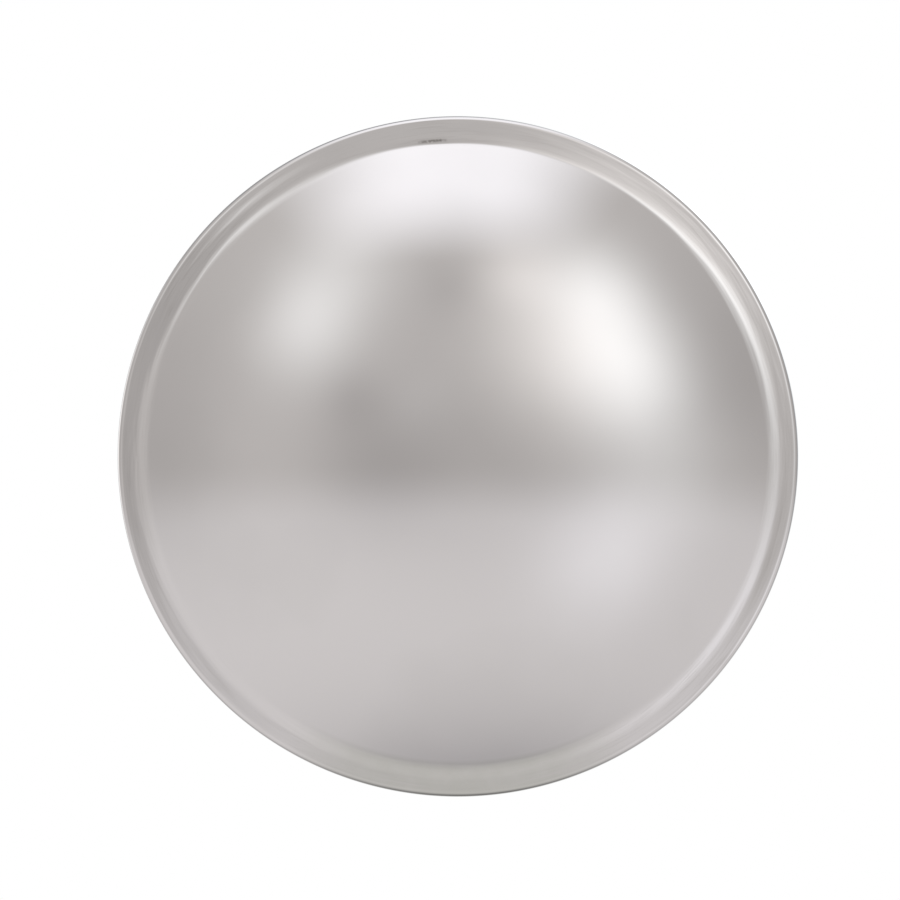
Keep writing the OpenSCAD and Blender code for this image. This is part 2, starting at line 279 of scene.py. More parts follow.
def box_section(r_in, r_out, low, high, edge):
    """Section of a ring with softened edges."""
    corners = [(r_in, low), (r_out, low), (r_out, high), (r_in, high)]
    points = []
    for i, c in enumerate(corners):
        c = Vector(c)
        back = (Vector(corners[i - 1]) - c).normalized() * edge
        on = (Vector(corners[(i + 1) % 4]) - c).normalized() * edge
        points += [c + back, c + (back + on) * 0.3, c + on]
    return points


def settle(obj):
    """Applies the object's modifiers to its mesh."""
    graph = bpy.context.evaluated_depsgraph_get()
    mesh = bpy.data.meshes.new_from_object(obj.evaluated_get(graph))
    obj.modifiers.clear()
    obj.data = mesh
    return obj


def cut(obj, cutter, operation="DIFFERENCE"):
    """Boolean with a shape that is then thrown away."""
    step = obj.modifiers.new("cut", "BOOLEAN")
    step.object, step.operation, step.solver = cutter, operation, "EXACT"
    settle(obj)
    bpy.data.objects.remove(cutter)
    return obj


def shade(obj, angle=SHARP_ANGLE):
    """Smooth shading that breaks at sharp edges."""
    mesh = obj.data
    mesh.polygons.foreach_set("use_smooth", [True] * len(mesh.polygons))
    mesh.set_sharp_from_angle(angle=angle)
    return obj


def even_normals(obj):
    step = obj.modifiers.new("normals", "WEIGHTED_NORMAL")
    step.keep_sharp = True
    return settle(obj)


def soften(obj, width, segments=2, worn_slot=-1):
    """Rounds the sharp edges. worn_slot gives the new faces their own material."""
    step = obj.modifiers.new("edges", "BEVEL")
    step.width, step.segments, step.limit_method = width, segments, "ANGLE"
    step.angle_limit = math.radians(40)
    step.use_clamp_overlap = True
    step.material = worn_slot
    settle(obj)
    return even_normals(shade(obj))


def copy_of(node, name, materials):
    """A new mesh with a CAD node's shape, its flat faces made whole again."""
    bm = bmesh.new()
    bm.from_mesh(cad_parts[node].data)
    bmesh.ops.remove_doubles(bm, verts=bm.verts, dist=2e-6)
    bmesh.ops.dissolve_limit(bm, angle_limit=math.radians(0.6), verts=bm.verts, edges=bm.edges)
    points = [v.co.copy() for v in bm.verts]
    faces = [[v.index for v in f.verts] for f in bm.faces]
    bm.free()
    return Shape().add(points, faces).make(name, materials)


def cylinder(radius, low, high, place):
    section = [(0, low), (radius, low), (radius, high), (0, high)]
    return Shape().add(*lathe(section, FINE_SEGMENTS, loop=False), place).make("cylinder", [])


def finish_piece(obj, body, slot, *nodes):
    """Rides on its body and stands for its CAD nodes, which it hides. The slot is not used."""
    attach(obj, body)
    if nodes:
        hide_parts(*nodes)
    return obj


# ---------------------------------------------------------------- materials

class Graph:
    """A short way to write a node tree."""

    def __init__(self, tree):
        self.tree = tree

    def feed(self, socket, value):
        """Gives a socket a number, a vector, a colour or another node's output."""
        if isinstance(value, (int, float)):
            socket.default_value = value
        elif isinstance(value, tuple):
            socket.default_value = (*value, 1.0) if socket.type == "RGBA" else value
        else:
            self.tree.links.new(value, socket)

    def node(self, kind, inputs, output=0, **settings):
        """Adds a node, feeds its inputs by name or number, and gives one of its outputs."""
        n = self.tree.nodes.new(kind)
        for key, value in settings.items():
            setattr(n, key, value)
        for key, value in inputs.items():
            self.feed(n.inputs[key], value)
        return n.outputs[output]

    def math(self, operation, *values):
        return self.node("ShaderNodeMath", dict(enumerate(values)), operation=operation)

    def times(self, a, b):
        return self.math("MULTIPLY", a, b)

    def vector(self, operation, *values, output="Vector"):
        inputs = dict(enumerate(values))
        return self.node("ShaderNodeVectorMath", inputs, output, operation=operation)

    def scaled(self, vector, amount):
        inputs = {0: vector, "Scale": amount}
        return self.node("ShaderNodeVectorMath", inputs, operation="SCALE")

    def part(self, vector, axis):
        return self.node("ShaderNodeSeparateXYZ", {"Vector": vector}, axis)

    def remap(self, value, low, high, to_low=0.0, to_high=1.0, smooth=False):
        """Takes low..high to to_low..to_high and clamps. low may be the larger if smooth."""
        kind = "SMOOTHSTEP" if smooth else "LINEAR"
        return self.node("ShaderNodeMapRange", {
            "Value": value, "From Min": low, "From Max": high, "To Min": to_low, "To Max": to_high,
        }, "Result", interpolation_type=kind)

    def mix(self, factor, a, b):
        return self.node("ShaderNodeMix", {0: factor, 6: a, 7: b}, 2, data_type="RGBA")


class Nodes(Graph):
    """A new material, its Principled shader and the textures that feed it."""

    def __init__(self, name):
        self.material = bpy.data.materials.new(name)
        self.material.use_nodes = True
        super().__init__(self.material.node_tree)
        self.shader = self.tree.nodes["Principled BSDF"]
        self.where = self.node("ShaderNodeTexCoord", {}, "Object")

    def set(self, **values):
        """Uniform values on the shader's own sockets."""
        for key, value in values.items():
            self.shader.inputs[key.replace("_", " ")].default_value = value
        return self

    def noise(self, scale, detail=4.0, rough=0.55, where=None, distortion=0.0):
        return self.node("ShaderNodeTexNoise", {
            "Vector": where or self.where, "Scale": scale, "Detail": detail,
            "Roughness": rough, "Distortion": distortion,
        }, "Fac")

    def cells(self, scale, where=None, output="Color"):
        inputs = {"Vector": where or self.where, "Scale": scale}
        return self.node("ShaderNodeTexVoronoi", inputs, output)

    def cell_number(self, scale, where):
        """One random number per Voronoi cell."""
        inputs = {"Color": self.cells(scale, where)}
        return self.node("ShaderNodeSeparateColor", inputs, "Red")

    def bent(self, amount, scale):
        """The object's coordinates, pushed about by noise so that cell edges aren't straight."""
        push = self.node("ShaderNodeTexNoise", {"Vector": self.where, "Scale": scale}, "Color")
        return self.vector("MULTIPLY_ADD", push, (amount, amount, amount), self.where)

    def stretched(self, x, y, z):
        return self.node("ShaderNodeMapping", {"Vector": self.where, "Scale": (x, y, z)})

    def from_axis(self):
        """Distance from the mirror's axis, in metres."""
        return self.vector("LENGTH", self.stretched(1.0, 0.0, 1.0), output="Value")

    def around_axis(self, turns, across):
        """Coordinates that run slowly round the mirror's axis and quickly away from it."""
        outward = self.vector("NORMALIZE", self.stretched(1.0, 0.0, 1.0))
        away = self.node("ShaderNodeCombineXYZ", {"Y": self.times(self.from_axis(), across)})
        return self.vector("ADD", self.scaled(outward, turns), away)

    def towards(self, degrees):
        """Cosine of the angle, round the mirror's axis, from a direction."""
        turn = math.radians(degrees)
        direction = (math.cos(turn), 0.0, math.sin(turn))
        return self.vector("DOT_PRODUCT", self.around_axis(1.0, 0.0), direction, output="Value")

    def over(self, base, colour, mask, amount):
        """The base colour with another over it, where the mask is, by an amount."""
        return self.mix(self.times(mask, amount), base, colour)

    def colour(self, value):
        self.feed(self.shader.inputs["Base Color"], value)

    def roughness(self, value):
        self.feed(self.shader.inputs["Roughness"], value)

    def bump(self, height, distance, strength=1.0):
        """Adds relief, in metres. Calls stack."""
        target = self.shader.inputs["Normal"]
        inputs = {"Height": height, "Distance": distance, "Strength": strength}
        if target.is_linked:
            inputs["Normal"] = target.links[0].from_socket
        self.feed(target, self.node("ShaderNodeBump", inputs))


def polished_steel():
    """Mirror finish. Each mark's reach is given as distances from the mirror's axis, in metres."""
    reflected_shade_reach, rolled_reach = (0.200, 0.206), (0.2045, 0.2090)
    scuff_inner, scuff_outer, scuff_turn = (0.2074, 0.2086), (0.2102, 0.2092), 94.6
    m = Nodes("polished_stainless").set(Metallic=1.0)
    reach = m.from_axis()
    clean, filmed = (0.652, 0.620, 0.617), (0.624, 0.594, 0.590)
    tone = m.mix(m.remap(m.noise(7.0, 3.0, 0.5), 0.42, 0.62), clean, filmed)

    # Painted reflected shade: the lowest part of the rim is darkened, standing in for the floor's
    # contact shadow that it mirrors
    low = m.remap(m.math("DIVIDE", m.part(m.where, "Z"), reach), -0.84, -0.985, smooth=True)
    painted_reflected_shade = m.times(low, m.remap(reach, *reflected_shade_reach))
    patchy = m.remap(m.noise(60.0, 3.0), 0.3, 0.6, 0.8, 1.0)
    tone = m.over(tone, (0.515, 0.500, 0.472), painted_reflected_shade, patchy)

    # Fine marks that the rolling tool left along the rim
    rolled = m.noise(1.0, 3.0, 0.6, where=m.around_axis(6.0, 560.0))
    on_the_rim = m.remap(reach, *rolled_reach)
    strands = m.times(m.remap(rolled, 0.50, 0.66), on_the_rim)
    strands = m.times(strands, m.remap(m.noise(9.0, 2.0), 0.42, 0.60, 0.1, 1.0))
    tone = m.over(tone, (0.560, 0.530, 0.522), strands, 0.7)

    # A scuff at the foot of the dome, near the top
    scuff = m.times(m.remap(m.towards(scuff_turn), 0.9988, 0.9996), m.remap(reach, *scuff_inner))
    scuff = m.times(scuff, m.remap(reach, *scuff_outer))
    scuff = m.times(scuff, m.remap(m.noise(420.0, 4.0, 0.7), 0.34, 0.54))
    tone = m.over(tone, (0.22, 0.20, 0.19), scuff, 0.8)

    # Small specks, in a few places
    specks = m.remap(m.cells(420.0, output="Distance"), 0.012, 0.03, 1.0, 0.0)
    specks = m.times(specks, m.remap(m.noise(26.0, 2.0), 0.62, 0.70))
    m.colour(m.over(tone, (0.30, 0.28, 0.26), specks, 0.5))

    haze = m.remap(m.noise(16.0, 5.0, 0.6, distortion=0.6), 0.38, 0.72, 0.035, 0.07)
    m.roughness(m.math("ADD", haze, m.times(specks, 0.2)))
    m.bump(m.times(rolled, on_the_rim), 0.00003)
    m.bump(m.noise(2600.0, 2.0, 0.6), 0.0000006)
    m.bump(m.noise(300.0, 1.0, 0.5), 0.0000012)
    return m.material


def galvanised_sheet():
    m = Nodes("galvanised_sheet").set(Metallic=0.92)
    spangle = m.cell_number(95.0, m.bent(0.004, 130.0))
    feather = m.noise(900.0, 3.0, 0.7, m.stretched(1.0, 1.0, 0.25))
    dull = m.remap(m.noise(9.0, 5.0, 0.6), 0.42, 0.66)
    bright = m.mix(spangle, (0.50, 0.52, 0.545), (0.67, 0.685, 0.70))
    bright = m.over(bright, (0.58, 0.60, 0.62), feather, 0.25)
    m.colour(m.over(bright, (0.60, 0.61, 0.615), dull, 0.45))
    rough = m.remap(spangle, 0.0, 1.0, 0.27, 0.42)
    m.roughness(m.math("ADD", rough, m.times(dull, 0.16)))
    m.bump(spangle, 0.000012, 0.6)
    m.bump(feather, 0.000006, 0.6)
    return m.material


def galvanised_plate(name="galvanised_plate", lift=0.0, smooth=0.0):
    """Hot-dip zinc. lift makes it lighter and smooth makes it glossier, as on worn edges."""
    def lifted(*colour):
        return tuple(c + lift for c in colour)

    m = Nodes(name).set(Metallic=0.85)
    spangle = m.cell_number(70.0, m.bent(0.006, 60.0))
    cloud = m.noise(38.0, 6.0, 0.62, distortion=0.4)
    grain = m.noise(1100.0, 4.0, 0.65)
    base = m.mix(m.remap(cloud, 0.35, 0.65), lifted(0.40, 0.42, 0.44), lifted(0.54, 0.56, 0.575))
    base = m.over(base, lifted(0.62, 0.64, 0.66), spangle, 0.35)
    chalk = m.remap(m.noise(85.0, 5.0, 0.7), 0.60, 0.72)
    m.colour(m.over(base, (0.66, 0.67, 0.67), chalk, 0.5))
    rough = m.remap(cloud, 0.3, 0.7, 0.36 - smooth, 0.56 - smooth)
    m.roughness(m.math("ADD", rough, m.times(chalk, 0.18)))
    m.bump(cloud, 0.00012, 0.8)
    m.bump(grain, 0.000018, 0.7)
    return m.material


def cast_metal():
    m = Nodes("galvanised_casting").set(Metallic=0.8)
    sand = m.noise(700.0, 5.0, 0.7)
    cloud = m.noise(45.0, 5.0, 0.6)
    base = m.mix(m.remap(cloud, 0.35, 0.65), (0.33, 0.345, 0.36), (0.47, 0.485, 0.50))
    m.colour(m.mix(m.remap(sand, 0.55, 0.75, 0.0, 0.5), base, (0.58, 0.59, 0.60)))
    m.roughness(m.remap(sand, 0.3, 0.7, 0.42, 0.62))
    m.bump(sand, 0.00016, 0.9)
    m.bump(m.noise(120.0, 3.0, 0.5), 0.0004, 0.8)
    return m.material


def machined_metal():
    m = Nodes("machined_face").set(Metallic=1.0)
    rings = m.noise(1500.0, 2.0, 0.5, m.stretched(1.0, 0.2, 1.0))
    m.colour(m.mix(rings, (0.55, 0.56, 0.57), (0.66, 0.67, 0.68)))
    m.roughness(m.remap(rings, 0.3, 0.7, 0.24, 0.36))
    m.bump(rings, 0.00001, 0.6)
    return m.material


def zinc_plate():
    m = Nodes("zinc_fastener").set(Metallic=1.0)
    tint = m.noise(55.0, 3.0, 0.5)
    handling = m.remap(m.noise(240.0, 6.0, 0.7, distortion=0.8), 0.50, 0.66)
    base = m.mix(m.remap(tint, 0.38, 0.62), (0.62, 0.645, 0.68), (0.69, 0.68, 0.655))
    m.colour(m.over(base, (0.50, 0.51, 0.52), handling, 0.35))
    m.roughness(m.remap(handling, 0.0, 1.0, 0.20, 0.34))
    m.bump(m.noise(1700.0, 3.0, 0.6), 0.000006, 0.7)
    m.bump(handling, 0.000012, 0.5)
    return m.material


def epdm():
    m = Nodes("epdm").set(Metallic=0.0, Specular_IOR_Level=0.4)
    skin_grain = m.noise(1400.0, 4.0, 0.6)
    dust = m.remap(m.noise(60.0, 5.0, 0.65), 0.50, 0.72)
    m.colour(m.over((0.022, 0.022, 0.024), (0.10, 0.098, 0.092), dust, 0.35))
    m.roughness(m.remap(skin_grain, 0.3, 0.7, 0.52, 0.72))
    m.bump(skin_grain, 0.00003, 0.8)
    return m.material


def nylon(name="nylon", colour=(0.78, 0.75, 0.66), deep=(0.66, 0.62, 0.52)):
    m = Nodes(name).set(Metallic=0.0, Subsurface_Weight=0.15, Subsurface_Scale=0.003)
    cloud = m.noise(90.0, 3.0, 0.5)
    m.colour(m.mix(m.remap(cloud, 0.35, 0.65), deep, colour))
    m.roughness(m.remap(m.noise(600.0, 3.0, 0.6), 0.3, 0.7, 0.36, 0.5))
    m.bump(m.noise(1500.0, 2.0, 0.5), 0.000012, 0.6)
    return m.material


STEEL = polished_steel()
SHEET_ZINC = galvanised_sheet()
PLATE_ZINC = galvanised_plate()
EDGE_ZINC = galvanised_plate("galvanised_edge", lift=0.09, smooth=0.10)
CASTING = cast_metal()
MACHINED = machined_metal()
ZINC = zinc_plate()
RUBBER = epdm()
NYLON = nylon()
NUT_RING = nylon("nut_insert", (0.80, 0.79, 0.76), (0.70, 0.69, 0.65))


# ---------------------------------------------------------------- head

# Where rolling the edge left the rim pushed out (+) or in (-): angle round from +X, distance in
# from the outline, reach round the rim in degrees, reach across it and height in millimetres
DENTS = [
    (127, 11.6, 12, 3.1, 0.86),
    (345, 11.6, 8, 2.8, -0.42),
    (4, 12.0, 8, 3.4, -0.15),
    (95, 11.2, 8, 2.6, -0.20),
    (94, 17.6, 2.0, 1.0, -0.10),
    (30, 13.0, 12, 3.2, 0.20),
    (26, 19.2, 10, 1.8, 0.17),
    (60, 12.5, 11, 3.2, 0.28),
    (194, 14.2, 13, 3.2, 0.28),
    (225, 14.0, 8, 2.5, -0.08),
]
# How far the fillet wanders inwards (+) or outwards (-): angle, reach in degrees, distance
WANDER = [(48, 8, 0.5), (64, 9, 0.9), (90, 12, 1.5), (128, 8, -0.6), (151, 9, 1.5), (345, 9, 0.3)]
WANDER_IN, WANDER_REACH = 16.5, 2.8
# Parts of the rim with marks from the rolling tool: angle, reach in degrees, strength
STREAKS = [(165, 28, 1.0), (350, 16, 0.8), (30, 20, 0.35)]
STREAK_H = 0.034
STREAK_BASE = 0.2


def bell(distance, reach):
    return math.exp(-0.5 * (distance / reach) ** 2)


def rise(value, start, reach):
    """0 up to start, then up to 1 over the reach."""
    return min(max((value - start) / reach, 0.0), 1.0)


def near(turn, angle, reach):
    """How much of something that sits at an angle round the rim is felt at a turn."""
    return bell((turn - angle + 180) % 360 - 180, reach)


def felt(turn, places):
    """What places of angle, reach and amount add up to at a turn."""
    return sum(amount * near(turn, angle, reach) for angle, reach, amount in places)


def ripple(x, y, height, often, across):
    """Noise that changes so often round the rim, at a place in the noise for across it."""
    return height * noise.noise(Vector((x, y, 0.0)).normalized() * often + Vector((0, 0, across)))


def rim_relief(r, turn, x, y):
    """How far the sheet of the rim stands out from its true shape, in millimetres."""
    inward = MIRROR_R - r
    grip = rise(r, DOME_EDGE.x - 0.6, 2.0) * rise(inward, 3.0, 1.5)
    if grip == 0.0:
        return 0.0
    relief = sum(
        height * near(turn, angle, reach) * bell(inward - depth, width)
        for angle, depth, reach, width, height in DENTS
    )
    relief += ripple(x, y, 0.08, 2.3, 4.1)
    relief += ripple(x, y, 0.05, 9.0, inward / 5.0)
    marks = STREAK_BASE + felt(turn, STREAKS)
    relief += ripple(x, y, STREAK_H * marks, 14.0, inward / 1.5)
    return grip * relief


def wander(r, turn):
    """How much nearer the middle a point of the fillet lies, as a factor."""
    shift = felt(turn, WANDER) * bell(MIRROR_R - r - WANDER_IN, WANDER_REACH)
    return 1.0 - shift / max(r, 1.0)


def uneven(x, y, z):
    """A point of the true dish, moved to where it lies on the real one."""
    r = math.hypot(x, y)
    turn = math.degrees(math.atan2(y, x)) % 360
    # The whole rolled edge waves slowly, but the return leg behind it is otherwise true
    z_out = z + rise(r, DOME_EDGE.x, 12.0) * ripple(x, y, 0.09, 3.1, 0.9)
    if z <= -HEM_R:
        return x, y, z_out
    nearer = wander(r, turn)
    return x * nearer, y * nearer, z_out + rim_relief(r, turn, x, y)


def mirror_face():
    """The polished dish: dome, fillet, sloping rim, rolled edge and return leg, one sheet."""
    hem_front, hem_back = on_rim(RIM_W, -HEM_R), HEM_R - SHEET
    over, under = math.pi / 2 - RIM_TILT, -math.pi / 2 - RIM_TILT
    leg_end = on_rim(RIM_W - HEM_LEG, -2 * HEM_R + SHEET / 2)
    down = -math.pi / 2
    section = join_paths(
        arc(DOME_CENTRE, DOME_R, math.pi / 2, math.pi / 2 - DOME_TILT, 44),
        arc(FILLET_CENTRE, FILLET_R, down - DOME_TILT, down - RIM_TILT, 36),
        line(on_rim(0, 0), on_rim(RIM_W, 0), 24),
        arc(hem_front, HEM_R, over, under, 24),
        line(on_rim(RIM_W, -2 * HEM_R), on_rim(RIM_W - HEM_LEG, -2 * HEM_R), 4),
        arc(leg_end, SHEET / 2, under, under - math.pi, 4),
        line(on_rim(RIM_W - HEM_LEG, -2 * HEM_R + SHEET), on_rim(RIM_W, -2 * HEM_R + SHEET), 3),
        arc(hem_front, hem_back, under, over, 10),
        line(on_rim(RIM_W, -SHEET), on_rim(0, -SHEET), 8),
        arc(FILLET_CENTRE, FILLET_R + SHEET, down - RIM_TILT, down - DOME_TILT, 10),
        arc(DOME_CENTRE, DOME_R - SHEET, math.pi / 2 - DOME_TILT, math.pi / 2, 24),
    )
    points, faces = lathe(section, DOME_SEGMENTS, loop=False)
    points = [uneven(*p) for p in points]
    obj = Shape().add(points, faces, FACE_FRAME).make("mirror_dish", [STEEL])
    shade(obj, math.radians(60))
    return finish_piece(obj, "head", "polished_stainless", "mirror_face")


def edge_seal():
    inner, outer = SEAL_X
    front, back = -SHEET, -2 * HEM_R + SHEET
    corners = [
        on_rim(inner, front), on_rim(outer, front), on_rim(outer, back), on_rim(inner, back),
        on_rim(inner, back + SEAL_LIP), on_rim(outer - SEAL_WEB, back + SEAL_LIP),
        on_rim(outer - SEAL_WEB, front - SEAL_LIP), on_rim(inner, front - SEAL_LIP),
    ]
    section = rounded(corners + corners[:2], 0.35, 3)[1:-1]
    obj = Shape().add(*lathe(section, 192), FACE_FRAME).make("edge_seal_ring", [RUBBER])
    shade(obj)
    return finish_piece(obj, "head", "epdm", "edge_seal")


def back_pan():
    """Pressed pan: flat back with a swage ring and spot welds, drained wall, flange in the seal."""
    shoulder = on_rim(-PAN_SHOULDER, PAN_FLANGE_Y)
    base_r = shoulder.x - (PAN_DEPTH + shoulder.y)
    crest = -PAN_DEPTH - SWAGE_H
    path = rounded([
        (0.0, -PAN_DEPTH),
        (SWAGE_R - SWAGE_HALF - SWAGE_H, -PAN_DEPTH), (SWAGE_R - SWAGE_HALF, crest),
        (SWAGE_R + SWAGE_HALF, crest), (SWAGE_R + SWAGE_HALF + SWAGE_H, -PAN_DEPTH),
        (base_r, -PAN_DEPTH), shoulder, on_rim(PAN_EDGE_X, PAN_FLANGE_Y),
    ], 5.0)
    disc = [Vector((r, -PAN_DEPTH)) for r in range(0, 121, 20)]
    section = thicken(disc + path[1:], PAN_T)
    section = [Vector((max(p.x, 0.0), p.y)) for p in section]
    obj = Shape().add(*lathe(section, 256, loop=False), FACE_FRAME).make("back_shell", [SHEET_ZINC])

    cutters = Shape()
    drain = lathe([(0, -6), (DRAIN_R, -6), (DRAIN_R, 6), (0, 6)], 32, loop=False)
    wall = (shoulder + Vector((base_r, -PAN_DEPTH))) / 2
    lean = Matrix.Rotation(math.radians(-45), 4, "Y")
    for step in (-1, 0, 1):
        turn = Matrix.Rotation(DRAIN_STEP * step - math.pi / 2, 4, "Z")
        cutters.add(*drain, FACE_FRAME @ turn @ Matrix.Translation((wall.x, 0, wall.y)) @ lean)
    dimple = [(0, -0.42), (1.4, -0.40), (2.4, -0.27), (3.1, 0.0), (3.1, 1.0), (0, 1.0)]
    dimple = lathe(dimple, 32, loop=False)
    flip = Matrix.Rotation(math.pi, 4, "X")
    for x in (-1, 0, 1):
        for z in (-1, 0, 1):
            if x or z:
                spot = Matrix.Translation((x * SPOT_WELD_STEP, z * SPOT_WELD_STEP, -PAN_DEPTH))
                cutters.add(*dimple, FACE_FRAME @ spot @ flip)
    cut(obj, cutters.make("cutters", []))
    shade(obj, math.radians(28))
    even_normals(obj)
    return finish_piece(obj, "head", "galvanised_sheet", "back_pan")


def plate(node, name, body, width=0.0007):
    """A CAD plate with rounded, slightly worn edges."""
    obj = soften(copy_of(node, name, [PLATE_ZINC, EDGE_ZINC]), width, worn_slot=1)
    return finish_piece(obj, body, "galvanised_plate", node)


# ---------------------------------------------------------------- fasteners

def hexagon_radius(flats, turn):
    """Distance from the axis to a hexagon's side in a direction."""
    return flats / 2 / math.cos((turn + math.pi / 6) % (math.pi / 3) - math.pi / 6)


def hexagon_rings(flats, low, high, chamfer_low, chamfer_high, hole=0.0):
    """Rings of a hexagonal block whose ends are chamfered by a 30 degree cone."""
    turns = [2 * math.pi * i / ROUND_SEGMENTS for i in range(ROUND_SEGMENTS)]
    face_r = flats / 2 * HEX_FACE
    slope = math.tan(math.radians(30))

    def side(height, way):
        """The sides' end. It goes way up or down from the height where the cone cuts the corners."""
        ring = []
        for t in turns:
            r = hexagon_radius(flats, t)
            ring.append((r * math.cos(t), r * math.sin(t), height + way * (r - face_r) * slope))
        return ring

    low_end = [circle(face_r, low), side(low, 1)] if chamfer_low else [side(low, 0)]
    high_end = [side(high, -1), circle(face_r, high)] if chamfer_high else [side(high, 0)]
    return [circle(hole, low)] + low_end + high_end + [circle(hole, high)]


def thread_rings(size, start, end):
    """Rings of a right-hand thread with a chamfered point."""
    pitch, crest = size["pitch"], size["d"] / 2 - THREAD_GAP
    depth, samples = 0.5 * pitch, 6
    rings = []
    for i in range(int((end - start) / pitch * samples) + 1):
        z = start + i * pitch / samples
        lead = min(1.0, (z - start) / (2 * pitch))
        point = max(0.0, z - (end - pitch)) * 0.8
        ring = []
        for k in range(THREAD_SEGMENTS):
            phase = (z / pitch - k / THREAD_SEGMENTS) % 1.0
            groove = max(0.0, 1.0 - abs(phase - 0.5) * 2.6) * depth * lead
            r = min(crest - groove, crest - point)
            turn = 2 * math.pi * k / THREAD_SEGMENTS
            ring.append((r * math.cos(turn), r * math.sin(turn), z))
        rings.append(ring)
    return rings


def bolt(shape, size, length, thread, place):
    """Head below z = 0, dished, with a washer face. Shank above, threaded at its far end."""
    top, flats = -size["head"], size["flats"]
    face_r = flats / 2 * HEX_FACE
    dish = [circle(0.0, top + 0.25), circle(0.72 * face_r, top + 0.22), circle(0.80 * face_r, top)]
    block = hexagon_rings(flats, top, -WASHER_FACE, True, False)[1:-1]
    seat = [circle(face_r, -WASHER_FACE), circle(face_r, 0.0), circle(0.0, 0.0)]
    shape.add(*skin(dish + block + seat), place)
    start, radius, base = length - thread, size["d"] / 2 - THREAD_GAP, 0.01
    shank = [circle(0.0, base)]
    shank += [circle(radius, z, THREAD_SEGMENTS) for z in (base, start - 0.3)]
    threads = thread_rings(size, start, length)
    shape.add(*skin(shank + threads + [circle(0.0, threads[-1][0][2])]), place)


def nut(shape, size, place):
    """Lock nut: hexagon, rolled collar and a ring of nylon. Its slots are metal 0, nylon 1."""
    flats, height, bore = size["flats"], size["nut"], size["d"] / 2 + THREAD_GAP
    hex_top = height * 0.66
    shape.add(*skin(hexagon_rings(flats, 0.0, hex_top, True, True, bore + 0.001), loop=True), place)
    outer, lip, root = flats / 2 * 0.90, size["d"] / 2 + 0.9, bore + 0.5
    collar = rounded([
        (root, hex_top - 0.01), (outer, hex_top - 0.01), (outer, height), (lip, height),
        (lip, height - 0.6), (outer - 0.9, height - 0.6), (outer - 0.9, hex_top + 0.2),
        (root, hex_top + 0.2),
    ], 0.9, 4)
    shape.add(*lathe(collar), place)
    insert = box_section(bore, outer - 0.95, hex_top + 0.25, height - 0.65, 0.2)
    shape.add(*lathe(insert), place, slot=1)


def washer(shape, size, place):
    outer, hole, thickness = size["washer"]
    shape.add(*lathe(box_section(hole / 2, outer / 2, 0.0, thickness, 0.18)), place)


def split_washer(shape, place):
    """Spring washer, closed flat: a ring with a slanting cut."""
    outer, hole, thickness = SPRING_WASHER
    section = box_section(hole / 2, outer / 2, 0.0, thickness, 0.15)
    half = math.asin(SPRING_GAP / outer)
    slant = math.radians(7)
    steps = 44
    rings = []
    for i in range(steps + 1):
        t = i / steps
        ring = []
        for p in section:
            lean = slant * (p.y / thickness - 0.5)
            turn = half + lean + t * (2 * math.pi - 2 * half)
            ring.append((p.x * math.cos(turn), p.x * math.sin(turn), p.y))
        rings.append(ring)
    points, faces = skin(rings)
    n = len(section)
    faces += [tuple(range(n))[::-1], tuple(range(len(points) - n, len(points)))]
    shape.add(points, faces, place)


def metal_piece(shape, name, body, node, extra=()):
    obj = shape.make(name, [ZINC, *extra])
    shade(obj, math.radians(24))
    return finish_piece(obj, body, "zinc_fastener", node)


def pitch_of(lo, hi):
    """How far apart M8 washers stand, in metres, from where their box starts and ends."""
    return hi - lo - M8["washer"][0] * MM


def four(pitch_x, pitch_z):
    return [(x * pitch_x / 2, z * pitch_z / 2) for x in (-1, 1) for z in (-1, 1)]


def head_fasteners(rolls):
    lo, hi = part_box("bracket_bolts")
    wash_lo, wash_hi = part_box("bracket_washers")
    lock_lo, lock_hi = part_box("lock_washers")
    nut_lo, nut_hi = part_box("weld_nuts")
    pitch = pitch_of(wash_lo.x, wash_hi.x)
    seat = lock_hi.y
    length = (seat - lo.y) / MM
    nut_h = (nut_hi.y - nut_lo.y) / MM
    nut_rings = hexagon_rings(WELD_NUT_FLATS, 0.0, nut_h, False, True, WELD_NUT_BORE_R)
    forward = (0, -1, 0)
    bolts, plain, spring, nuts = Shape(), Shape(), Shape(), Shape()
    for x, z in four(pitch, pitch):
        bolt(bolts, M8, length, HEAD_THREAD, aim((x, seat, z), forward, rolls.uniform(0, 1)))
        washer(plain, M8, aim((x, wash_hi.y, z), forward))
        split_washer(spring, aim((x, seat, z), forward, rolls.uniform(0, 6.2)))
        nuts.add(*skin(nut_rings, loop=True), aim((x, nut_hi.y, z), forward, math.pi / 6))
    metal_piece(bolts, "head_bolts", "head", "bracket_bolts")
    metal_piece(plain, "head_flat_washers", "head", "bracket_washers")
    metal_piece(spring, "head_spring_washers", "head", "lock_washers")
    metal_piece(nuts, "head_weld_nuts", "head", "weld_nuts")


def clamp_fasteners(rolls):
    lo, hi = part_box("clamp_bolts")
    wash_lo, wash_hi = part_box("clamp_washers")
    nut_lo, nut_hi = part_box("clamp_nuts")
    pitch_x, pitch_z = pitch_of(wash_lo.x, wash_hi.x), pitch_of(wash_lo.z, wash_hi.z)
    seat, far_washer = wash_lo.y, wash_hi.y - M8["washer"][2] * MM
    length = (hi.y - seat) / MM
    back = (0, 1, 0)
    bolts, washers, nuts = Shape(), Shape(), Shape()
    for x, z in four(pitch_x, pitch_z):
        bolt(bolts, M8, length, CLAMP_THREAD, aim((x, seat, z), back, rolls.uniform(0, 1)))
        for y in (seat, far_washer):
            washer(washers, M8, aim((x, y, z), back))
        nut(nuts, M8, aim((x, nut_lo.y, z), back, rolls.uniform(0, 1)))
    metal_piece(bolts, "clamp_bolt_set", "pole_mount", "clamp_bolts")
    metal_piece(washers, "clamp_washer_set", "pole_mount", "clamp_washers")
    metal_piece(nuts, "clamp_nut_set", "pole_mount", "clamp_nuts", [NUT_RING])


